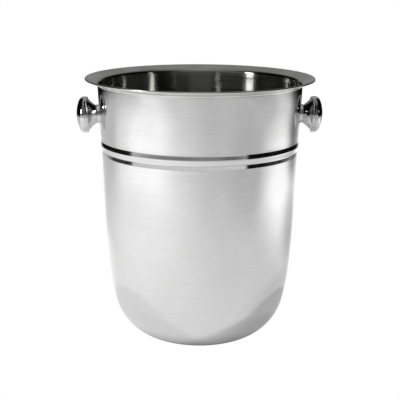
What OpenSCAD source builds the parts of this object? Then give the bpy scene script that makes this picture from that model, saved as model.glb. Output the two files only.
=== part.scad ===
// Polished stainless champagne bucket with two knob handles.
// Millimetres. +Z up, origin at the centre of the base on the table, knobs on the X axis.

/* [Shell] */
// Diameter over the rim
rim_d = 210; // [200:1:220]
// Height over the rim
height = 245; // [240:1:255]
// Thickness of the sheet that the shell is drawn from
sheet_t = 0.9; // [0.7:0.1:1.2]
// Diameter of the flat ring that the bucket stands on
foot_d = 61; // [56:1:66]
// Height of the shallow dish pressed up in the middle of the base
dish_h = 1.2; // [0.6:0.1:2]
// Radius of the round corner between base and belly
corner_r = 49.5; // [45:0.5:54]
// Radius of the belly's curve above the corner
belly_r = 243; // [230:1:260]
// Radius of the long, almost straight curve of the lower wall
wall_bow_r = 1460; // [1350:10:1600]
// Slope of the wall from upright where the corner meets the belly, in degrees
corner_slope = 13.7; // [13:0.1:14.4]
// Slope of the wall from upright where the belly meets the lower wall, in degrees
belly_slope = 5.2; // [4.8:0.1:5.6]

/* [Rim] */
// Radius of the outside wall where the rim flares out
throat_r = 93.6; // [93:0.1:94.5]
// Slope of the flared rim above level, in degrees
rim_slope = 22; // [18:0.5:24]
// Bend radius between wall and rim, on the outside
rim_bend_r = 2.2; // [1.5:0.1:3]
// Width of the hem folded under the rim's edge
hem_w = 3.6; // [2.5:0.1:4.5]

/* [Bead] */
// Depth of the bead's crest below the rim
bead_drop = 61; // [57:0.1:64]
// Height of the bead's upper shoulder, from the wall out to the crest
bead_upper = 4.6; // [4:0.1:6.5]
// Height of the fall from the crest to the bottom of the groove under it
bead_fall = 4.3; // [3:0.1:5]
// Height of the groove's lower side, from its bottom back out to the wall
groove_lower = 4.4; // [4:0.1:6]
// How far the bead's crest stands proud of the wall
bead_proud = 0.65; // [0.3:0.05:0.9]
// How deep the groove's bottom lies inside the wall
groove_depth = 0.45; // [0.2:0.05:0.6]

/* [Knobs] */
// Depth of the knobs' middle below the rim
knob_drop = 34; // [32:0.5:38]
// Diameter of a knob's head
knob_d = 33.6; // [31:0.2:35]
// Reach of a knob from the wall to the middle of its face
knob_reach = 20.8; // [19.5:0.1:22]
// Diameter of a knob's neck against its collar
neck_d = 16.4; // [15:0.1:18]
// Distance from the wall to the back edge of a knob's head
head_back = 9.6; // [9:0.1:10.5]
// Distance from the wall to the seam round a knob's head
head_seam = 12.2; // [12:0.1:12.6]
// Thickness of the sheet that the knobs are pressed from
knob_t = 0.8; // [0.6:0.1:1]
// Radius of the middle of a knob's domed face
face_r = 34; // [32:1:38]
// Radius of the hollow curve of the knob's back
back_bow_r = 21; // [16:1:40]

/* [Fixings] */
// Thickness of the collar between knob and wall
collar_t = 2.5; // [2:0.1:2.8]
// Diameter of the collar
collar_d = 17.6; // [17:0.1:19]
// Diameter of the shank of the screw, a No. 6 machine screw
screw_d = 3.5; // [3:0.1:3.5]
// Diameter of the clearance holes for the screw
screw_hole_d = 3.9; // [3.7:0.1:3.9]
// Diameter of the screw's head
screw_head_d = 7.4; // [7:0.1:8]
// Height of the screw's head
screw_head_h = 2.3; // [2:0.1:2.6]
// Diameter of the steel washer
washer_d = 11; // [10.5:0.5:12]
// Thickness of the steel washer
washer_t = 1; // [0.8:0.1:1.2]
// Diameter of the sealing washer
seal_d = 13; // [12.5:0.5:14]
// Thickness of the sealing washer at its middle
seal_t = 1.3; // [1.1:0.1:1.6]
// Diameter of the threaded insert's body
insert_d = 7.6; // [7:0.1:8.5]
// Length of the threaded insert inside the knob
insert_l = 8.6; // [8:0.1:9]

/* [Hidden] */
$fn = 96;
SHELL_FN = 180;
// Two points of an outline closer than this count as one
EPS = 0.01;
// How far a cutting tool runs past the face that it cuts through
PAST = 1;

// ---- Helpers for outlines in the [radius, height] half-plane ----

function unit(v) = v / norm(v);

// A quarter turn to the left of a direction
function left_of(v) = [-v[1], v[0]];

// Points along an arc, both ends included
function arc(centre, r, from, to, steps) =
    [for (i = [0:steps])
        let (a = from + (to - from) * i / steps)
        centre + r * [cos(a), sin(a)]];

// Points that round the corner at v, on the way from a to b
function round_corner(a, v, b, r, steps) =
    let (
        u = unit(a - v),
        w = unit(b - v),
        half = acos(u * w) / 2,
        centre = v + unit(u + w) * r / sin(half),
        start = v + u * r / tan(half) - centre,
        end = v + w * r / tan(half) - centre,
        from = atan2(start[1], start[0]),
        turn = atan2(end[1], end[0]) - from,
        sweep = turn > 180 ? turn - 360 : turn < -180 ? turn + 360 : turn
    )
    arc(centre, r, from, from + sweep, steps);

// The path moved sideways to its left by t, with mitred corners
function beside(path, t) =
    let (last = len(path) - 1)
    [for (i = [0:last])
        let (
            before = unit(path[max(i, 1)] - path[max(i, 1) - 1]),
            after = unit(path[min(i, last - 1) + 1] - path[min(i, last - 1)]),
            mitre = left_of(before) + left_of(after)
        )
        path[i] + t * 2 * mitre / (mitre * mitre)];

function reversed(path) = [for (i = [len(path) - 1:-1:0]) path[i]];

// Straight rise from 0 to 1 with rounded ends, each EASE_END long
EASE_END = 0.15;
function ease(s) =
    s < EASE_END ? s * s / (2 * EASE_END * (1 - EASE_END))
    : s > 1 - EASE_END ? 1 - ease(1 - s)
    : (s - EASE_END / 2) / (1 - EASE_END);

// ---- Shell outline ----

DISH_STEPS = 8;
CORNER_STEPS = 26;
BELLY_STEPS = 8;
WALL_STEPS = 10;
BEAD_STEPS = 44;
BEND_STEPS = 8;
HEM_STEPS = 14;

foot_r = foot_d / 2;
// The dish takes up this share of the foot's radius, and the flat ring the rest
dish_share = 0.75;
dish_r = foot_r * dish_share;
dish_arc_r = (dish_r * dish_r + dish_h * dish_h) / (2 * dish_h);
dish_angle = asin(dish_r / dish_arc_r);

// Outside of the base, the round corner and the belly
corner_c = [foot_r, corner_r];
corner_end = corner_c + corner_r * [cos(corner_slope), -sin(corner_slope)];
belly_c = corner_end - belly_r * [cos(corner_slope), -sin(corner_slope)];
belly_end = belly_c + belly_r * [cos(belly_slope), -sin(belly_slope)];
wall_c = belly_end - wall_bow_r * [cos(belly_slope), -sin(belly_slope)];

// The bead and the groove under it, from the groove's foot to the bead's top
bead_h = bead_upper + bead_fall + groove_lower;
bead_foot_z = height - bead_drop - bead_fall - groove_lower;
wall_end_slope = asin((wall_c[1] - bead_foot_z) / wall_bow_r);
bead_foot = wall_c + wall_bow_r * [cos(wall_end_slope), -sin(wall_end_slope)];

// The rim: the hem's round edge, and the line of the rim's underside
hem_c = [rim_d / 2 - sheet_t, height - sheet_t];
rim_dir = [cos(rim_slope), sin(rim_slope)];
rim_up = left_of(rim_dir);
throat = hem_c - rim_dir * (hem_c[0] - throat_r) / cos(rim_slope);

// The upper wall is one cone from the bead's top to the throat
bead_lean = (throat[0] - bead_foot[0]) / (throat[1] - bead_foot_z) * bead_h;
bead_top = bead_foot + [bead_lean, bead_h];
wall_dir = unit(throat - bead_top);
wall_taper = atan2(wall_dir[0], wall_dir[1]);

// How far the rolled wall stands out from its plain line at height h above the groove's foot
function bead_bump(h) =
    h < groove_lower ? -groove_depth * ease(h / groove_lower)
    : h < groove_lower + bead_fall
        ? (groove_depth + bead_proud) * ease((h - groove_lower) / bead_fall) - groove_depth
    : bead_proud * ease((bead_h - h) / bead_upper);

bead_path = [
    for (i = [0:BEAD_STEPS])
        let (s = i / BEAD_STEPS)
        bead_foot + s * [bead_lean, bead_h] + [bead_bump(s * bead_h), 0]
];

// Outside skin, from the middle of the base up to the rim's underside
outside_skin = concat(
    arc([0, dish_h - dish_arc_r], dish_arc_r, 90, 90 - dish_angle, DISH_STEPS),
    arc(corner_c, corner_r, -90, -corner_slope, CORNER_STEPS),
    [for (p = arc(belly_c, belly_r, -corner_slope, -belly_slope, BELLY_STEPS))
        if (p[1] > corner_end[1] + EPS) p],
    [for (p = arc(wall_c, wall_bow_r, -belly_slope, -wall_end_slope, WALL_STEPS))
        if (p[1] > belly_end[1] + EPS) p],
    [for (p = bead_path) if (p[1] > bead_foot_z + EPS) p],
    round_corner(bead_top, throat, hem_c, rim_bend_r, BEND_STEPS)
);
inside_skin = beside(concat(outside_skin, [hem_c]), sheet_t);
hem_start = hem_c - rim_dir * hem_w;
hem_edge = arc(hem_c, sheet_t, rim_slope - 90, rim_slope + 90, HEM_STEPS);
shell_outline = concat(
    outside_skin,
    [hem_start, hem_start - rim_up * sheet_t],
    hem_edge,
    [for (p = reversed(inside_skin)) if (p[0] < hem_c[0] - sheet_t) [max(p[0], 0), p[1]]]
);

// ---- Knob outlines, in [distance from the knob's axis, distance from the wall] ----

BACK_STEPS = 12;
EDGE_STEPS = 12;
FACE_STEPS = 10;

knob_z = height - knob_drop;
knob_wall_r = bead_top[0] + (knob_z - bead_top[1]) * tan(wall_taper);
neck_r = neck_d / 2;
screw_r = screw_d / 2;

// Cap and back meet in a shallow V groove round the head; on either side the head is at its widest
knob_r = knob_d / 2;
seam_groove_half = 0.7;
seam_groove_depth = 0.45;
// Width of the flat ring on which cap and back meet
seam_land = 1.6;
seam_r = knob_r - seam_groove_depth;
seam = [[seam_r - seam_land, head_seam], [seam_r, head_seam]];

// The back's edge is rounded, and stops where the hollow back runs into it
back_edge_r = head_seam - seam_groove_half - head_back;
back_edge_c = [knob_r - back_edge_r, head_back + back_edge_r];
back_edge_start = -80;

// The domed face: a shallow middle, then a rolled edge tangent to it and to the head's widest line
face_c = [0, knob_reach - face_r];
face_edge_u = head_seam + seam_groove_half;
face_edge_r = (pow(face_r, 2) - pow(knob_r, 2) - pow(face_edge_u - face_c[1], 2)) / (2 * (face_r - knob_r));
face_edge_c = [knob_r - face_edge_r, face_edge_u];
face_angle = atan2(face_edge_c[0], face_edge_u - face_c[1]);

// The knob's back is one hollow arc from the neck to the head's back edge
back_start = [neck_r, collar_t];
back_end = [back_edge_c[0], head_back];
back_chord = back_end - back_start;
back_lean = atan2(back_chord[0], back_chord[1]);
back_half = asin(norm(back_chord) / (2 * back_bow_r));
back_c = back_start + back_bow_r * [cos(back_half - back_lean), sin(back_half - back_lean)];

// The insert's spigot fills the hole in the knob's end wall, and its flange bears on the wall's inside
spigot_step = 0.8;
flange_step = 1.3;
spigot_r = insert_d / 2 - spigot_step;
insert_flange_r = insert_d / 2 + flange_step;
insert_flange_t = 1.2;
insert_bottom_t = 0.8;
insert_u = collar_t + knob_t;

back_skin = concat(
    [[spigot_r, collar_t]],
    arc(back_c, back_bow_r, 180 + back_half - back_lean, 180 - back_half - back_lean, BACK_STEPS),
    arc(back_edge_c, back_edge_r, back_edge_start, 0, EDGE_STEPS),
    reversed(seam)
);
cap_skin = concat(
    seam,
    arc(face_edge_c, face_edge_r, 0, 90 - face_angle, EDGE_STEPS),
    [for (p = arc(face_c, face_r, 90 - face_angle, 90, FACE_STEPS))
        if (p[0] < face_r * sin(face_angle) - EPS) [max(p[0], 0), p[1]]]
);

// Distances from the wall's outside to the fixings inside, all below zero
seal_u = -(sheet_t + seal_t);
washer_u = seal_u - washer_t;

// ---- Shapes that both sides share ----

// Places its children at a knob: +Z points out of the wall, square to it
module at_knob(side) {
    rotate([0, 0, side == "right" ? 0 : 180])
        translate([knob_wall_r, 0, knob_z])
            rotate([0, 90 + wall_taper, 0])
                children();
}

// A solid that fills the inside of the upper wall's cone, moved out by grow from its outside
module upper_wall_fill(grow) {
    shift = grow / cos(wall_taper);
    low = bead_top + wall_dir * EPS;
    high = throat - wall_dir * 2 * rim_bend_r;
    translate([0, 0, low[1]])
        cylinder(h = high[1] - low[1], r1 = low[0] + shift, r2 = high[0] + shift, $fn = SHELL_FN);
}

// A round plate of diameter d, from low to high, with a hole through its middle
module ring(d, low, high, hole_d) {
    difference() {
        translate([0, 0, low]) cylinder(d = d, h = high - low);
        translate([0, 0, low - PAST]) cylinder(d = hole_d, h = high - low + 2 * PAST);
    }
}

// Closed outline of a sheet whose one skin is given and whose other lies t to its left
function sheet_outline(skin, t) =
    concat(skin, [for (p = reversed(beside(skin, t))) [max(p[0], 0), p[1]]]);

// ---- Sub-parts ----

// The whole shell: drawn bucket with bead, flared rim and hem, drilled for the two knob screws
module bucket_shell() {
    color("gainsboro")
    difference() {
        rotate_extrude($fn = SHELL_FN) polygon(shell_outline);
        for (side = ["right", "left"])
            at_knob(side)
                translate([0, 0, -sheet_t - PAST]) cylinder(d = screw_hole_d, h = sheet_t + 2 * PAST);
    }
}

// Pressed, domed front of the knob
module knob_cap(side) {
    color("whitesmoke")
    at_knob(side)
        rotate_extrude() polygon(sheet_outline(cap_skin, knob_t));
}

// Pressed back of the knob: end wall, neck, hollow cone and rounded edge
module knob_back(side) {
    color("lightgray")
    at_knob(side)
        rotate_extrude() polygon(sheet_outline(back_skin, knob_t));
}

// Threaded insert, flanged behind the knob's end wall, with a blind hole for the screw
module knob_insert(side) {
    color("goldenrod")
    at_knob(side)
        difference() {
            union() {
                translate([0, 0, collar_t]) cylinder(r = spigot_r, h = knob_t);
                translate([0, 0, insert_u]) cylinder(r = insert_flange_r, h = insert_flange_t);
                translate([0, 0, insert_u]) cylinder(d = insert_d, h = insert_l);
            }
            translate([0, 0, collar_t - PAST])
                cylinder(r = screw_r, h = PAST + knob_t + insert_l - insert_bottom_t);
        }
}

// Ring that spaces the knob off the wall; its back is cut to the wall's curve
module collar(side) {
    edge_r = 0.8;
    r = collar_d / 2;
    outline = concat(
        [[screw_hole_d / 2, -PAST], [r, -PAST]],
        round_corner([r, 0], [r, collar_t], [0, collar_t], edge_r, BEND_STEPS),
        [[screw_hole_d / 2, collar_t]]
    );
    color("silver")
    difference() {
        at_knob(side) rotate_extrude() polygon(outline);
        upper_wall_fill(0);
    }
}

// Soft washer that keeps meltwater in; its wall side follows the wall's curve
module sealing_washer(side) {
    color("dimgray")
    intersection() {
        at_knob(side) ring(seal_d, seal_u, 0, screw_hole_d);
        upper_wall_fill(-sheet_t);
    }
}

// Flat washer under the screw's head
module steel_washer(side) {
    color("darkgray")
    at_knob(side) ring(washer_d, washer_u, seal_u, screw_hole_d);
}

// Cross-recessed pan-head screw, put in from inside the bucket
module knob_screw(side) {
    head_edge_r = 1.6;
    tip_gap = 1;
    tip_bevel = 0.5;
    r = screw_head_d / 2;
    tip_u = insert_u + insert_l - insert_bottom_t - tip_gap;
    outline = concat(
        [[0, tip_u], [0, washer_u - screw_head_h]],
        reversed(round_corner(
            [r, washer_u], [r, washer_u - screw_head_h], [0, washer_u - screw_head_h],
            head_edge_r, BEND_STEPS)),
        [[r, washer_u], [screw_r, washer_u], [screw_r, tip_u - tip_bevel], [screw_r - tip_bevel, tip_u]]
    );
    recess_l = 4;
    recess_w = 0.9;
    recess_depth = 1.4;
    color("silver")
    at_knob(side)
        difference() {
            rotate_extrude() polygon(outline);
            for (turn = [45, 135])
                rotate([0, 0, turn])
                    translate([-recess_l / 2, -recess_w / 2, washer_u - screw_head_h - PAST])
                        cube([recess_l, recess_w, recess_depth + PAST]);
        }
}

bucket_shell();
knob_cap("right");  // knob_cap_right
knob_back("right");  // knob_back_right
knob_insert("right");  // knob_insert_right
collar("right");  // collar_right
sealing_washer("right");  // sealing_washer_right
steel_washer("right");  // steel_washer_right
knob_screw("right");  // knob_screw_right
knob_cap("left");  // knob_cap_left
knob_back("left");  // knob_back_left
knob_insert("left");  // knob_insert_left
collar("left");  // collar_left
sealing_washer("left");  // sealing_washer_left
steel_washer("left");  // steel_washer_left
knob_screw("left");  // knob_screw_left
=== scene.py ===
import math

import bpy
from mathutils import Matrix, Vector


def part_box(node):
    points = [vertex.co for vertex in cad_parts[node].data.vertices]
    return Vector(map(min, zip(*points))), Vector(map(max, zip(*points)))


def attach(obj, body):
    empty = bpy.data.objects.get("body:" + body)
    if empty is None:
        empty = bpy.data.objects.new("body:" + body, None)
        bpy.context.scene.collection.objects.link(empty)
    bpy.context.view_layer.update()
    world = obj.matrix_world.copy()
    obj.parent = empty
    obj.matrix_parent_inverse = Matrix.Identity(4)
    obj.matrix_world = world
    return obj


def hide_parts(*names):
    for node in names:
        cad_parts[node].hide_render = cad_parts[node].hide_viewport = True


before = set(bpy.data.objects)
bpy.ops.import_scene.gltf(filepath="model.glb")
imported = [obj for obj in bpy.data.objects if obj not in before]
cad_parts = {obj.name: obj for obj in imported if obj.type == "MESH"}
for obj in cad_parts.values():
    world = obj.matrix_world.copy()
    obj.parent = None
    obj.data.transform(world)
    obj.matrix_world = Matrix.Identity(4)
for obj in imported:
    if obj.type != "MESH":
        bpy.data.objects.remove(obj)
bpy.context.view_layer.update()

# Looks of the polished steel champagne bucket. Metres; +Z up, the base stands on z = 0, knobs on the X axis.
# The shell and the knobs' outer skins are turned again here at a finer pitch than the CAD mesh,
# because a mirror finish shows every facet. The screws, washers, seals and inserts are the CAD nodes.

# ---- Sizes of the shell, the same as the CAD part's ----

RIM_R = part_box("bucket_shell")[1].x
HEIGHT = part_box("bucket_shell")[1].z
SHEET_T = 0.0009
FOOT_R = 0.0305
DISH_SHARE = 0.75
DISH_R = DISH_SHARE * FOOT_R
DISH_H = 0.0012
CORNER_R = 0.0495
BELLY_R = 0.243
WALL_BOW_R = 1.46
CORNER_SLOPE = 13.7
BELLY_SLOPE = 5.2
THROAT_R = 0.0936
RIM_SLOPE = 22
RIM_BEND_R = 0.0022
HEM_W = 0.0036
BEAD_DROP = 0.061
BEAD_UPPER = 0.0046
BEAD_FALL = 0.0043
GROOVE_LOWER = 0.0044
BEAD_PROUD = 0.00065
GROOVE_DEPTH = 0.00045
EASE_END = 0.15

# ---- Sizes of the knobs, the same as the CAD part's ----

# Each knob's turn round the bucket's axis, in degrees
SIDES = {"right": 0, "left": 180}
KNOB_DROP = 0.034
KNOB_R = 0.0168
KNOB_REACH = 0.0208
NECK_R = 0.0082
HEAD_BACK = 0.0096
HEAD_SEAM = 0.0122
KNOB_T = 0.0008
FACE_R = 0.034
BACK_BOW_R = 0.021
BACK_EDGE_START = -80
SEAM_GROOVE_HALF = 0.0007
SEAM_GROOVE_DEPTH = 0.00045
SEAM_LAND = 0.0016
COLLAR_T = 0.0025
COLLAR_R = 0.0088
COLLAR_EDGE_R = 0.0008
SPIGOT_R = 0.003

# ---- Fineness of the turned meshes ----

SHELL_TURN_STEPS = 192
KNOB_TURN_STEPS = 128
DISH_STEPS = 8
FOOT_STEPS = 2
CORNER_STEPS = 48
BELLY_STEPS = 16
WALL_STEPS = 24
BEAD_STEPS = 60
UPPER_WALL_STEPS = 12
BEND_STEPS = 14
UNDERSIDE_STEPS = 8
HEM_STEPS = 6
HEM_EDGE_STEPS = 14
RIM_TOP_STEPS = 8
BACK_STEPS = 28
BACK_EDGE_STEPS = 20
FACE_EDGE_STEPS = 36
FACE_STEPS = 16
COLLAR_EDGE_STEPS = 12
# A short run of wall before the bend under the rim, so that the wall's shading stays flat up to it
BEND_RUN_IN = 0.0006
# Outline points closer than this are one point
SAME_POINT = 1e-6
# Points nearer to the axis than this lie on it
POLE_R = 2e-5
# Edges that turn by more than this stay sharp
SHARP = math.radians(30)

# ---- Outlines in the [radius, height] half-plane ----


def vec(x, y):
    """A point or direction in the half-plane."""
    return Vector((x, y))


def polar(angle):
    """Unit vector at an angle in degrees."""
    return vec(math.cos(math.radians(angle)), math.sin(math.radians(angle)))


def left_of(v):
    """The direction turned a quarter to its left."""
    return vec(-v.y, v.x)


def arc(centre, radius, start, end, steps):
    """Points along an arc, both ends included."""
    return [centre + radius * polar(start + (end - start) * i / steps) for i in range(steps + 1)]


def line(start, end, steps):
    """Points along a straight line, without its last point."""
    return [start.lerp(end, i / steps) for i in range(steps)]


def round_corner(before, corner, after, radius, steps):
    """Points that round a corner on the way from one point to another."""
    u = (before - corner).normalized()
    w = (after - corner).normalized()
    half = u.angle(w) / 2
    centre = corner + (u + w).normalized() * radius / math.sin(half)
    start = corner + u * radius / math.tan(half) - centre
    end = corner + w * radius / math.tan(half) - centre
    first = math.degrees(math.atan2(start.y, start.x))
    sweep = (math.degrees(math.atan2(end.y, end.x)) - first + 180) % 360 - 180
    return arc(centre, radius, first, first + sweep, steps)


def beside(path, t):
    """The path moved sideways to its left by t, with mitred corners."""
    moved = []
    last = len(path) - 1
    for i, p in enumerate(path):
        before = (path[max(i, 1)] - path[max(i, 1) - 1]).normalized()
        after = (path[min(i, last - 1) + 1] - path[min(i, last - 1)]).normalized()
        mitre = left_of(before) + left_of(after)
        moved.append(p + mitre * (2 * t / mitre.length_squared))
    return moved


def joined(*stretches):
    """Stretches of outline in one list, without repeated points."""
    path = []
    for stretch in stretches:
        for p in stretch:
            if not path or (p - path[-1]).length > SAME_POINT:
                path.append(vec(max(p.x, 0), p.y))
    return path


def ease(s):
    """A straight rise from 0 to 1 with rounded ends, each EASE_END long."""
    if s < EASE_END:
        return s * s / (2 * EASE_END * (1 - EASE_END))
    if s > 1 - EASE_END:
        return 1 - ease(1 - s)
    return (s - EASE_END / 2) / (1 - EASE_END)


def bead_bump(h):
    """How far the rolled wall stands out from its plain line at height h above the groove's foot."""
    if h < GROOVE_LOWER:
        return -GROOVE_DEPTH * ease(h / GROOVE_LOWER)
    if h < GROOVE_LOWER + BEAD_FALL:
        return (GROOVE_DEPTH + BEAD_PROUD) * ease((h - GROOVE_LOWER) / BEAD_FALL) - GROOVE_DEPTH
    return BEAD_PROUD * ease((bead_h - h) / BEAD_UPPER)


dish_arc_r = (DISH_R**2 + DISH_H**2) / (2 * DISH_H)
dish_angle = math.degrees(math.asin(DISH_R / dish_arc_r))
corner_c = vec(FOOT_R, CORNER_R)
corner_end = corner_c + CORNER_R * polar(-CORNER_SLOPE)
belly_c = corner_end - BELLY_R * polar(-CORNER_SLOPE)
belly_end = belly_c + BELLY_R * polar(-BELLY_SLOPE)
wall_c = belly_end - WALL_BOW_R * polar(-BELLY_SLOPE)
bead_h = BEAD_UPPER + BEAD_FALL + GROOVE_LOWER
bead_foot_z = HEIGHT - BEAD_DROP - BEAD_FALL - GROOVE_LOWER
wall_end_slope = math.degrees(math.asin((wall_c.y - bead_foot_z) / WALL_BOW_R))
bead_foot = wall_c + WALL_BOW_R * polar(-wall_end_slope)
hem_c = vec(RIM_R - SHEET_T, HEIGHT - SHEET_T)
rim_dir = polar(RIM_SLOPE)
throat = hem_c - rim_dir * ((hem_c.x - THROAT_R) / rim_dir.x)
bead_lean = (throat.x - bead_foot.x) / (throat.y - bead_foot.y) * bead_h
bead_top = bead_foot + vec(bead_lean, bead_h)
wall_dir = (throat - bead_top).normalized()
wall_taper = math.atan2(wall_dir.x, wall_dir.y)
knob_z = HEIGHT - KNOB_DROP
knob_wall_r = bead_top.x + (knob_z - bead_top.y) * math.tan(wall_taper)


def bead_path(steps):
    """The wall's outside from the groove's foot over the bead."""
    heights = [bead_h * i / steps for i in range(steps + 1)]
    return [bead_foot + vec(bead_lean * h / bead_h + bead_bump(h), h) for h in heights]


def shell_outside():
    """The shell's outside, from the middle of the base up to the bend under the rim."""
    wall_top = rim_bend()[0] - wall_dir * BEND_RUN_IN
    return joined(
        arc(vec(0, DISH_H - dish_arc_r), dish_arc_r, 90, 90 - dish_angle, DISH_STEPS),
        line(vec(DISH_R, 0), vec(FOOT_R, 0), FOOT_STEPS),
        arc(corner_c, CORNER_R, -90, -CORNER_SLOPE, CORNER_STEPS),
        arc(belly_c, BELLY_R, -CORNER_SLOPE, -BELLY_SLOPE, BELLY_STEPS),
        arc(wall_c, WALL_BOW_R, -BELLY_SLOPE, -wall_end_slope, WALL_STEPS),
        bead_path(BEAD_STEPS),
        line(bead_top, wall_top, UPPER_WALL_STEPS),
        [wall_top],
    )


def rim_bend():
    """The outside of the bend from the wall into the flared rim."""
    return round_corner(bead_top, throat, hem_c, RIM_BEND_R, BEND_STEPS)


def shell_stretches():
    """The shell's outline in stretches that share a finish: [(finish number, points)].

    Finish 0 is the outside, 1 the outer bend and both faces of the rim, and 2 the inside.
    """
    rim_up = left_of(rim_dir)
    outside = shell_outside()
    bend = rim_bend()
    hem_start = hem_c - rim_dir * HEM_W
    inside = [p for p in beside(outside + bend + [hem_c], SHEET_T) if p.x < hem_c.x - SHEET_T]
    inside.reverse()
    underside = line(bend[-1], hem_start, UNDERSIDE_STEPS)
    hem = line(hem_start - rim_up * SHEET_T, hem_c - rim_up * SHEET_T, HEM_STEPS)
    edge = arc(hem_c, SHEET_T, RIM_SLOPE - 90, RIM_SLOPE + 90, HEM_EDGE_STEPS)
    top = line(edge[-1], inside[0], RIM_TOP_STEPS)
    return [(0, outside), (1, bend + underside + [hem_start] + hem + edge + top), (2, inside)]


# ---- Outlines of the knobs, in [distance from the knob's axis, distance from the wall] ----

seam_r = KNOB_R - SEAM_GROOVE_DEPTH
seam = [vec(seam_r - SEAM_LAND, HEAD_SEAM), vec(seam_r, HEAD_SEAM)]
back_edge_r = HEAD_SEAM - SEAM_GROOVE_HALF - HEAD_BACK
back_edge_c = vec(KNOB_R - back_edge_r, HEAD_BACK + back_edge_r)
face_c = vec(0, KNOB_REACH - FACE_R)
face_edge_u = HEAD_SEAM + SEAM_GROOVE_HALF
face_edge_r = (FACE_R**2 - KNOB_R**2 - (face_edge_u - face_c.y) ** 2) / (2 * (FACE_R - KNOB_R))
face_edge_c = vec(KNOB_R - face_edge_r, face_edge_u)
face_angle = math.degrees(math.atan2(face_edge_c.x, face_edge_u - face_c.y))
back_start = vec(NECK_R, COLLAR_T)
back_chord = vec(back_edge_c.x, HEAD_BACK) - back_start
back_lean = math.degrees(math.atan2(back_chord.x, back_chord.y))
back_half = math.degrees(math.asin(back_chord.length / (2 * BACK_BOW_R)))
back_first = 180 + back_half - back_lean
back_last = 180 - back_half - back_lean
back_c = back_start - BACK_BOW_R * polar(back_first)


def back_skin():
    """The knob's back, from its end wall over the neck and the hollow cone to the seam."""
    return joined(
        [vec(SPIGOT_R, COLLAR_T)],
        arc(back_c, BACK_BOW_R, back_first, back_last, BACK_STEPS),
        arc(back_edge_c, back_edge_r, BACK_EDGE_START, 0, BACK_EDGE_STEPS),
        reversed(seam),
    )


def cap_skin():
    """The knob's front, from the seam over its rolled edge to the middle of the domed face."""
    return joined(
        seam,
        arc(face_edge_c, face_edge_r, 0, 90 - face_angle, FACE_EDGE_STEPS),
        arc(face_c, FACE_R, 90 - face_angle, 90, FACE_STEPS),
    )


def sheet_stretches(skin):
    """A pressed sheet: its outer skin and, a thickness to the left, its inner skin."""
    inner = beside(skin, KNOB_T)
    inner.reverse()
    return [(0, skin), (0, joined(inner))]


def collar_stretches():
    """The ring between knob and wall; its back ends inside the wall's sheet."""
    base = -SHEET_T / 2
    corner = vec(COLLAR_R, COLLAR_T)
    rounded = round_corner(vec(COLLAR_R, 0), corner, vec(0, COLLAR_T), COLLAR_EDGE_R, COLLAR_EDGE_STEPS)
    return [(0, [vec(SPIGOT_R, base), vec(COLLAR_R, base)] + rounded + [vec(SPIGOT_R, COLLAR_T)])]


# ---- Turned meshes ----


def added(name, data):
    """A new object in the scene."""
    made = bpy.data.objects.new(name, data)
    bpy.context.scene.collection.objects.link(made)
    return made


def outline_normals(path, closed):
    """The outline's spans, and the outward normals at both ends of each, split where it turns sharply."""
    count = len(path)
    spans = [(i, (i + 1) % count) for i in range(count if closed else count - 1)]
    along = [(path[j] - path[i]) for i, j in spans]
    normals = []
    for n, here in enumerate(along):
        ends = []
        for other in (n - 1, n + 1):
            inside = closed or 0 <= other < len(along)
            beyond = along[other % len(along)] if inside else here
            if here.angle(beyond) > SHARP:
                beyond = here
            tangent = here.normalized() * beyond.length + beyond.normalized() * here.length
            ends.append(vec(tangent.y, -tangent.x).normalized())
        normals.append(ends)
    return spans, normals


def single_path(stretches):
    """All stretches' points in one list, without repeated points, and the number that goes with each."""
    path = []
    kinds = []
    for kind, points in stretches:
        for p in points:
            if not path or (p - path[-1]).length > SAME_POINT:
                path.append(p if p.x > POLE_R else vec(0, p.y))
                kinds.append(kind)
    return path, kinds


def travelled(path):
    """How far along the path each of its points lies."""
    ways = [0]
    for before, here in zip(path, path[1:]):
        ways.append(ways[-1] + (here - before).length)
    return ways


def turned(name, stretches, materials, steps, closed=False, place=Matrix()):
    """A smooth mesh turned round place's Z from an outline given as [(material number, points)].

    The place is baked into the mesh. A point attribute, along, holds the way travelled on the outline.
    """
    path, kinds = single_path(stretches)
    turn = [polar(360 * k / steps) for k in range(steps)]
    verts = []
    rings = []
    along = []
    for p, way in zip(path, travelled(path)):
        spokes = turn if p.x > 0 else turn[:1]
        rings.append([len(verts) + k for k in range(len(spokes))])
        verts += [(p.x * t.x, p.x * t.y, p.y) for t in spokes]
        along += [way] * len(spokes)
    faces = []
    face_kinds = []
    corner_normals = []
    spans, normals = outline_normals(path, closed)
    for (i, j), (start, end) in zip(spans, normals):
        if len(rings[i]) == len(rings[j]) == 1:
            continue
        for k in range(steps):
            after = (k + 1) % steps
            corners = [(i, k, start), (i, after, start), (j, after, end), (j, k, end)]
            if len(rings[i]) == 1:
                corners = [(i, 0, start), corners[2], corners[3]]
            elif len(rings[j]) == 1:
                corners = [corners[0], corners[1], (j, 0, end)]
            faces.append([rings[at][spoke] for at, spoke, _ in corners])
            face_kinds.append(kinds[j])
            for at, spoke, n in corners:
                # On the axis the surface is level
                level = (0, 0, math.copysign(1, n.y))
                t = turn[spoke]
                corner_normals.append(level if len(rings[at]) == 1 else (n.x * t.x, n.x * t.y, n.y))
    mesh = bpy.data.meshes.new(name)
    mesh.from_pydata([place @ Vector(v) for v in verts], [], faces)
    mesh.update(calc_edges=True)
    mesh.polygons.foreach_set("use_smooth", [True] * len(faces))
    mesh.polygons.foreach_set("material_index", face_kinds)
    for material in materials:
        mesh.materials.append(material)
    rotation = place.to_3x3()
    mesh.normals_split_custom_set([rotation @ Vector(n) for n in corner_normals])
    mesh.attributes.new("along", "FLOAT", "POINT").data.foreach_set("value", along)
    return added(name, mesh)


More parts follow.
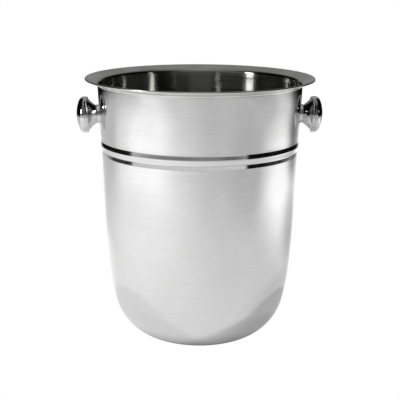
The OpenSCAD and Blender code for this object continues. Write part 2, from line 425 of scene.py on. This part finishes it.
def at_knob(side):
    """Local +Z points out of the wall at a knob, square to it."""
    round_axis = Matrix.Rotation(math.radians(SIDES[side]), 4, "Z")
    out = Matrix.Translation((knob_wall_r, 0, knob_z)) @ Matrix.Rotation(math.pi / 2 + wall_taper, 4, "Y")
    return round_axis @ out


# ---- Materials ----

SHELL_STEEL = (0.74, 0.74, 0.74)
SHELL_STEEL_DULL = (0.67, 0.67, 0.665)
RIM_STEEL_WORN = (0.58, 0.58, 0.57)
# The inside's steel is darker than the outside's: painted shade inside the bucket
INSIDE_STEEL_SHADED = (0.53, 0.53, 0.52)
INSIDE_STEEL_SHADED_DULL = (0.46, 0.46, 0.45)
CHROME = (0.64, 0.64, 0.64)
CHROME_DULL = (0.54, 0.54, 0.54)
BRASS = (0.76, 0.58, 0.28)
BRASS_TARNISHED = (0.52, 0.36, 0.15)
RUBBER = (0.018, 0.018, 0.019)
RUBBER_DUSTY = (0.05, 0.05, 0.052)
FIXING_STEEL = (0.70, 0.70, 0.69)
FIXING_STEEL_SCUFFED = (0.56, 0.56, 0.55)
# Usual distance between the lines that polishing and turning leave
LINE_PITCH = 0.0016
# Numbers of a Mix node's colour sockets, which share their names with others
MIX_FIRST = 6
MIX_SECOND = 7
MIX_RESULT = 2


class Finish:
    """One material: a Principled shader, and short ways to add and join the nodes that feed it."""

    def __init__(self, name):
        self.material = bpy.data.materials.new(name)
        self.material.use_nodes = True
        self.tree = self.material.node_tree
        self.shader = self.tree.nodes["Principled BSDF"]

    def node(self, kind, inputs=None, **settings):
        """Add a node; each of its inputs is a number or colour to set, or a socket to link."""
        made = self.tree.nodes.new("ShaderNode" + kind)
        for key, value in settings.items():
            setattr(made, key, value)
        for key, value in (inputs or {}).items():
            if isinstance(value, bpy.types.NodeSocket):
                self.tree.links.new(value, made.inputs[key])
            else:
                made.inputs[key].default_value = value
        return made

    def set(self, **inputs):
        """Set or link the shader's own sockets, with _ for the spaces in their names."""
        for key, value in inputs.items():
            socket = self.shader.inputs[key.replace("_", " ")]
            if isinstance(value, bpy.types.NodeSocket):
                self.tree.links.new(value, socket)
            else:
                socket.default_value = value

    def place(self):
        """Where a point lies on the object, in metres."""
        return self.node("TexCoord").outputs["Object"]

    def noise(self, vector, scale, detail=2.0, roughness=0.5):
        """Soft noise, mostly between 0.35 and 0.65."""
        inputs = {"Vector": vector, "Scale": scale, "Detail": detail, "Roughness": roughness}
        return self.node("TexNoise", inputs).outputs["Fac"]

    def ranged(self, value, low, high, start=0.35, end=0.65):
        """A noise value spread smoothly from low to high."""
        inputs = {"Value": value, "From Min": start, "From Max": end, "To Min": low, "To Max": high}
        return self.node("MapRange", inputs, interpolation_type="SMOOTHSTEP").outputs["Result"]

    def mixed(self, factor, first, second):
        """A colour between two others."""
        mix = self.node("Mix", {"Factor": factor}, data_type="RGBA")
        mix.inputs[MIX_FIRST].default_value = (*first, 1)
        mix.inputs[MIX_SECOND].default_value = (*second, 1)
        return mix.outputs[MIX_RESULT]

    def turned_lines(self, pitch, wander=6.0):
        """Fine lines that run round the axis, broken up slowly on the way round."""
        parts = self.node("SeparateXYZ", {"Vector": self.place()}).outputs
        along = self.node("Attribute", attribute_name="along").outputs["Fac"]
        scaled = self.node("Math", {0: along, 1: 1 / pitch}, operation="MULTIPLY").outputs[0]
        slow = [self.node("Math", {0: parts[k], 1: wander}, operation="MULTIPLY").outputs[0] for k in "XY"]
        vector = self.node("CombineXYZ", {"X": slow[0], "Y": slow[1], "Z": scaled}).outputs[0]
        return self.noise(vector, scale=1.0, detail=3.0, roughness=0.6)

    def bumped(self, height, distance, strength=1.0, under=None):
        """A normal roughened by a height, on top of another bump if one is given."""
        inputs = {"Height": height, "Distance": distance, "Strength": strength}
        if under:
            inputs["Normal"] = under
        return self.node("Bump", inputs).outputs["Normal"]


def polished_outside():
    """Mirror-polished sheet: faint buffing lines, soft handling marks, a slight waviness from spinning."""
    steel = Finish("steel_polished_outside")
    marks = steel.noise(steel.place(), scale=40, detail=6.0, roughness=0.65)
    waves = steel.noise(steel.place(), scale=22, detail=1.0)
    lines = steel.turned_lines(LINE_PITCH)
    streaks = steel.turned_lines(LINE_PITCH, wander=45.0)
    both = steel.node("Math", {0: marks, 1: streaks}, operation="ADD").outputs[0]
    dull = steel.ranged(both, 0, 0.6, start=0.6, end=1.4)
    wavy = steel.bumped(waves, distance=0.0006, strength=0.5)
    steel.set(
        Base_Color=steel.mixed(dull, SHELL_STEEL, SHELL_STEEL_DULL),
        Metallic=1.0,
        Roughness=steel.ranged(marks, 0.05, 0.12),
        Normal=steel.bumped(lines, distance=0.00005, strength=0.22, under=wavy),
    )
    return steel.material


def satin_rim():
    """The rim's two faces, its hem and the bend below it: brushed on the lathe, worn by handling."""
    steel = Finish("steel_satin_rim")
    lines = steel.turned_lines(LINE_PITCH / 3)
    worn = steel.noise(steel.place(), scale=40, detail=3.0)
    steel.set(
        Base_Color=steel.mixed(steel.ranged(worn, 0, 1), SHELL_STEEL_DULL, RIM_STEEL_WORN),
        Metallic=1.0,
        Roughness=steel.ranged(worn, 0.17, 0.26),
        Normal=steel.bumped(lines, distance=0.00003, strength=0.4),
    )
    return steel.material


def spun_inside():
    """The inside, left with its fine spinning lines, which draw reflections out up and down. Its steel is
    darker than the outside's: painted shade inside the bucket.
    """
    steel = Finish("steel_spun_inside")
    lines = steel.turned_lines(LINE_PITCH * 1.5)
    dull = steel.noise(steel.place(), scale=18, detail=3.0)
    round_axis = steel.node("Tangent", direction_type="RADIAL", axis="Z").outputs["Tangent"]
    steel.set(
        Base_Color=steel.mixed(steel.ranged(dull, 0, 1), INSIDE_STEEL_SHADED, INSIDE_STEEL_SHADED_DULL),
        Metallic=1.0,
        Roughness=steel.ranged(lines, 0.13, 0.18),
        Anisotropic=1.0,
        Anisotropic_Rotation=0.25,
        Tangent=round_axis,
        Normal=steel.bumped(lines, distance=0.00002, strength=0.3),
    )
    return steel.material


def bright_chrome():
    """The knobs and collars: crisp polish with very fine turning lines and a few dull marks."""
    chrome = Finish("knob_bright_polish")
    marks = chrome.noise(chrome.place(), scale=120, detail=3.0)
    lines = chrome.turned_lines(LINE_PITCH / 4, wander=40.0)
    chrome.set(
        Base_Color=chrome.mixed(chrome.ranged(marks, 0, 0.5), CHROME, CHROME_DULL),
        Metallic=1.0,
        Roughness=chrome.ranged(marks, 0.035, 0.07),
        Normal=chrome.bumped(lines, distance=0.000006, strength=0.3),
    )
    return chrome.material


def turned_brass():
    """Machined brass with tool marks and some tarnish."""
    brass = Finish("insert_turned_brass")
    tarnish = brass.noise(brass.place(), scale=300, detail=4.0)
    waves = {"Vector": brass.place(), "Scale": 900.0, "Distortion": 1.0}
    marks = brass.node("TexWave", waves, bands_direction="X").outputs["Fac"]
    brass.set(
        Base_Color=brass.mixed(brass.ranged(tarnish, 0, 1), BRASS, BRASS_TARNISHED),
        Metallic=1.0,
        Roughness=brass.ranged(tarnish, 0.25, 0.45),
        Normal=brass.bumped(marks, distance=0.00003, strength=0.5),
    )
    return brass.material


def matt_rubber():
    """Black sealing rubber with a fine moulded grain and a dusty bloom."""
    rubber = Finish("seal_matt_rubber")
    grain = rubber.noise(rubber.place(), scale=2600, detail=2.0)
    bloom = rubber.noise(rubber.place(), scale=220, detail=3.0)
    rubber.set(
        Base_Color=rubber.mixed(rubber.ranged(bloom, 0, 1), RUBBER, RUBBER_DUSTY),
        Roughness=rubber.ranged(bloom, 0.62, 0.82),
        Normal=rubber.bumped(grain, distance=0.00005, strength=0.6),
    )
    return rubber.material


def fixing_steel():
    """Plain stainless screws and washers, lightly brushed and scuffed."""
    steel = Finish("fixing_brushed_steel")
    stretched = steel.node("Mapping", {"Vector": steel.place(), "Scale": (900.0, 2200.0, 260.0)})
    brushed = steel.noise(stretched.outputs["Vector"], scale=1.0, detail=3.0)
    scuffs = steel.noise(steel.place(), scale=350, detail=4.0)
    steel.set(
        Base_Color=steel.mixed(steel.ranged(scuffs, 0, 1), FIXING_STEEL, FIXING_STEEL_SCUFFED),
        Metallic=1.0,
        Roughness=steel.ranged(brushed, 0.22, 0.36),
        Normal=steel.bumped(brushed, distance=0.00003, strength=0.5),
    )
    return steel.material


# ---- The bucket ----


def stand_for(piece, node):
    """The piece rides on the bucket's body and takes a CAD node's place."""
    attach(piece, "root")
    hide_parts(node)


def dress(node, material):
    """Give a CAD node that stays visible its material."""
    for slot in bpy.data.objects[node].material_slots:
        slot.material = material


def make_shell():
    """The shell, with its three finishes in the order that shell_stretches numbers them."""
    finishes = [polished_outside(), satin_rim(), spun_inside()]
    shell = turned("shell_skin", shell_stretches(), finishes, SHELL_TURN_STEPS)
    stand_for(shell, "bucket_shell")


def make_knobs():
    """Both knobs: new skins for what shows outside, and finishes for the CAD's fixings."""
    chrome = bright_chrome()
    brass = turned_brass()
    rubber = matt_rubber()
    steel = fixing_steel()
    outlines = {
        "knob_cap": sheet_stretches(cap_skin()),
        "knob_back": sheet_stretches(back_skin()),
        "collar": collar_stretches(),
    }
    for side in SIDES:
        for part, stretches in outlines.items():
            skin = turned(f"{part}_skin_{side}", stretches, [chrome], KNOB_TURN_STEPS, True, at_knob(side))
            stand_for(skin, f"{part}_{side}")
        dress(f"knob_insert_{side}", brass)
        dress(f"sealing_washer_{side}", rubber)
        dress(f"steel_washer_{side}", steel)
        dress(f"knob_screw_{side}", steel)


# ---- Studio ----

# Azimuths in the studio are in degrees round the bucket: 0 in front of it, 90 at its right.
# The bucket stands with its left knob turned a little towards the camera, so camera and lights turn.
STUDIO_TURN = -2.5
STUDIO = Matrix.Rotation(math.radians(STUDIO_TURN), 4, "Z")

TABLE_R = 1.45
TABLE_EDGE = 0.28
TABLE_LEVEL = 0.63
# Pools of light and shade on the table: [x, y, radius, radius where it has faded, change of level]
POOLS = [
    (0.0, 0.0, 0.10, 1.10, 0.18),
    (-0.50, -0.24, 0.15, 0.70, 0.34),
    (-0.76, -0.52, 0.10, 0.55, 0.36),
    (-0.92, 0.00, 0.10, 0.45, 0.28),
    (0.66, 0.14, 0.10, 0.46, 0.62),
    (1.15, 0.40, 0.10, 0.50, 0.22),
    (0.10, 0.80, 0.20, 0.65, 0.50),
    (-0.13, 0.24, 0.04, 0.20, 0.20),
    (-0.30, -0.80, 0.10, 0.55, 0.16),
    (0.55, -0.40, 0.10, 0.40, -0.10),
    (0.72, 0.78, 0.15, 0.50, -0.40),
    (0.34, 0.30, 0.05, 0.26, -0.30),
    (0.085, 0.055, 0.105, 0.165, -0.12),
    (0.055, 0.030, 0.100, 0.114, -0.16),
    (0.045, -0.015, 0.030, 0.075, -0.12),
    (-0.075, 0.010, 0.092, 0.112, -0.09),
]
# The bucket's own shade round its foot
FOOT_SHADE_R = 0.075
FOOT_SHADE = 0.75

# The floor that the camera sees lies just under the base
FLOOR_R = 40
FLOOR_DROP = 0.0004

# Heights in the room are sines of the angle above the horizon.
# Sides of the room that aren't dark: [azimuth, half width, softness, floor level, wall level, wall top]
ROOM_SIDES = [
    (-14, 69, 3, 0.75, 0.02, 0.12),
    (-14, 44, 16, 0.0, 0.16, 0.8),
    (180, 24, 8, 0.0, 0.27, 0.9),
]
# How far above and below the horizon the far floor blends into the wall
HORIZON = 0.03
# The wall's light is gone at this many times the height of its top
WALL_FADE = 1.5
ROOM_DARK = 0.004
CEILING_LEVEL = 0.3
CEILING_START = 0.8
CEILING_FULL = 0.98

# Strip lights: [azimuth, width, height, strength]
STRIPS = [
    (-63, 0.38, 0.8, 17.0),
    (64, 0.16, 0.5, 2.0),
]
STRIP_ELEVATION = 22
STRIP_DISTANCE = 2.5

CAMERA_AT = (0, -1.036, 0.3714)
CAMERA_PITCH = 13.14
CAMERA_ROLL = 0.27
CAMERA_LENS = 102.3
# Sideways shift of the lens, as a share of the sensor's width
CAMERA_SHIFT = 0.00125
SENSOR = 36


def emission(name):
    """A material that only glows; returns it with its node tree and emission node."""
    material = bpy.data.materials.new(name)
    material.use_nodes = True
    tree = material.node_tree
    tree.nodes.clear()
    glow = tree.nodes.new("ShaderNodeEmission")
    out = tree.nodes.new("ShaderNodeOutputMaterial")
    tree.links.new(glow.outputs[0], out.inputs["Surface"])
    return material, tree, glow


def panel(name, corners, material):
    """A flat piece of the studio, which isn't part of the bucket."""
    mesh = bpy.data.meshes.new(name)
    mesh.from_pydata(corners, [], [range(len(corners))])
    mesh.materials.append(material)
    piece = added(name, mesh)
    return piece


def disc(name, radius, z, material, steps=96):
    """A round panel that lies flat at height z."""
    corners = [(*(radius * polar(360 * k / steps)), z) for k in range(steps)]
    return panel(name, corners, material)


def math_node(tree, operation, first, second=0):
    """The result of a sum, in which each side is a number or a socket."""
    made = tree.nodes.new("ShaderNodeMath")
    made.operation = operation
    for k, value in enumerate((first, second)):
        if isinstance(value, bpy.types.NodeSocket):
            tree.links.new(value, made.inputs[k])
        else:
            made.inputs[k].default_value = value
    return made.outputs[0]


def vector_node(tree, operation, vector, constant):
    """The number that a vector and a fixed vector give, such as their distance."""
    made = tree.nodes.new("ShaderNodeVectorMath")
    made.operation = operation
    tree.links.new(vector, made.inputs[0])
    made.inputs[1].default_value = constant
    return made.outputs["Value"]


def ramp(tree, value, start, end, first, last):
    """A smooth step from one level to another."""
    step = tree.nodes.new("ShaderNodeMapRange")
    step.interpolation_type = "SMOOTHSTEP"
    tree.links.new(value, step.inputs["Value"])
    for key, number in (("From Min", start), ("From Max", end), ("To Min", first), ("To Max", last)):
        step.inputs[key].default_value = number
    return step.outputs["Result"]


def falloff(tree, place, x, y, inner, outer, level):
    """A smooth pool: level within the inner radius, nothing beyond the outer one."""
    distance = vector_node(tree, "DISTANCE", place, (x, y, 0))
    return ramp(tree, distance, inner, outer, level, 0)


def lit_table():
    """The table as the polished metal sees it: even, with soft pools of light and a dark edge."""
    material, tree, glow = emission("table_light")
    place = tree.nodes.new("ShaderNodeTexCoord").outputs["Object"]
    total = TABLE_LEVEL
    for pool in POOLS:
        total = math_node(tree, "ADD", falloff(tree, place, *pool), total)
    edge = falloff(tree, place, 0, 0, TABLE_R - TABLE_EDGE, TABLE_R, 1)
    foot = falloff(tree, place, 0, 0, FOOT_R, FOOT_SHADE_R, FOOT_SHADE)
    open_floor = math_node(tree, "SUBTRACT", 1, foot)
    level = math_node(tree, "MULTIPLY", math_node(tree, "MULTIPLY", total, edge), open_floor)
    tree.links.new(level, glow.inputs["Strength"])
    table = disc("table", TABLE_R, 0, material)
    table.matrix_world = STUDIO
    table.visible_camera = False


def white_floor():
    """The white floor that only the camera sees."""
    material, _, glow = emission("pale_floor")
    glow.inputs["Strength"].default_value = 1
    floor = disc("floor", FLOOR_R, -FLOOR_DROP, material)
    floor.visible_glossy = False
    floor.visible_diffuse = False


def strip_light(azimuth, width, height, strength):
    """A tall softbox that faces the bucket, seen only in the metal."""
    name = f"strip_{azimuth % 360}"
    material, _, glow = emission(name)
    glow.inputs["Strength"].default_value = strength
    half_w, half_h = width / 2, height / 2
    corners = [(-half_w, -half_h, 0), (half_w, -half_h, 0), (half_w, half_h, 0), (-half_w, half_h, 0)]
    strip = panel(name, corners, material)
    turn, rise = math.radians(azimuth), math.radians(STRIP_ELEVATION)
    away = Vector((math.sin(turn) * math.cos(rise), -math.cos(turn) * math.cos(rise), math.sin(rise)))
    facing = away.to_track_quat("Z", "Y").to_matrix().to_4x4()
    strip.matrix_world = STUDIO @ Matrix.Translation(away * STRIP_DISTANCE) @ facing
    strip.visible_camera = False


def room_side(tree, direction, up, azimuth, half_width, soft, floor_level, wall_level, wall_top):
    """The light from one side of the room: a far floor up to the horizon and a wall above it."""
    side = vector_node(tree, "DOT_PRODUCT", direction, (*polar(azimuth - 90 + STUDIO_TURN), 0))
    flat = math_node(tree, "SQRT", math_node(tree, "SUBTRACT", 1, math_node(tree, "MULTIPLY", up, up)))
    near, far = (math.cos(math.radians(half_width + k * soft)) for k in (-1, 1))
    within = ramp(tree, math_node(tree, "DIVIDE", side, flat), far, near, 0, 1)
    low = ramp(tree, up, -HORIZON, HORIZON, floor_level, wall_level)
    high = ramp(tree, up, wall_top, WALL_FADE * wall_top, 1, 0)
    return math_node(tree, "MULTIPLY", within, math_node(tree, "MULTIPLY", low, high))


def make_world():
    """White for the camera; the metal sees a dark room with a few lit sides and a grey ceiling."""
    world = bpy.data.worlds.new("studio")
    bpy.context.scene.world = world
    world.use_nodes = True
    tree = world.node_tree
    room = tree.nodes["Background"]
    room.inputs["Color"].default_value = (1, 1, 1, 1)
    direction = tree.nodes.new("ShaderNodeTexCoord").outputs["Generated"]
    parts = tree.nodes.new("ShaderNodeSeparateXYZ")
    tree.links.new(direction, parts.inputs[0])
    up = parts.outputs["Z"]
    level = 0
    for side in ROOM_SIDES:
        level = math_node(tree, "ADD", level, room_side(tree, direction, up, *side))
    ceiling = ramp(tree, up, CEILING_START, CEILING_FULL, ROOM_DARK, CEILING_LEVEL)
    tree.links.new(math_node(tree, "ADD", level, ceiling), room.inputs["Strength"])
    white = tree.nodes.new("ShaderNodeBackground")
    white.inputs["Color"].default_value = (1, 1, 1, 1)
    rays = tree.nodes.new("ShaderNodeLightPath")
    choose = tree.nodes.new("ShaderNodeMixShader")
    tree.links.new(rays.outputs["Is Camera Ray"], choose.inputs[0])
    tree.links.new(room.outputs[0], choose.inputs[1])
    tree.links.new(white.outputs[0], choose.inputs[2])
    tree.links.new(choose.outputs[0], tree.nodes["World Output"].inputs["Surface"])


def make_camera():
    """The camera in front of the bucket, a little above the rim, looking slightly down."""
    data = bpy.data.cameras.new("camera")
    data.lens = CAMERA_LENS
    data.sensor_width = SENSOR
    data.shift_x = CAMERA_SHIFT
    camera = added("camera", data)
    tilt = Matrix.Rotation(math.radians(90 - CAMERA_PITCH), 4, "X")
    roll = Matrix.Rotation(math.radians(CAMERA_ROLL), 4, "Z")
    camera.matrix_world = STUDIO @ Matrix.Translation(CAMERA_AT) @ tilt @ roll
    bpy.context.scene.camera = camera


make_shell()
make_knobs()
lit_table()
white_floor()
for strip in STRIPS:
    strip_light(*strip)
make_world()
make_camera()
bpy.context.scene.view_settings.view_transform = "Standard"
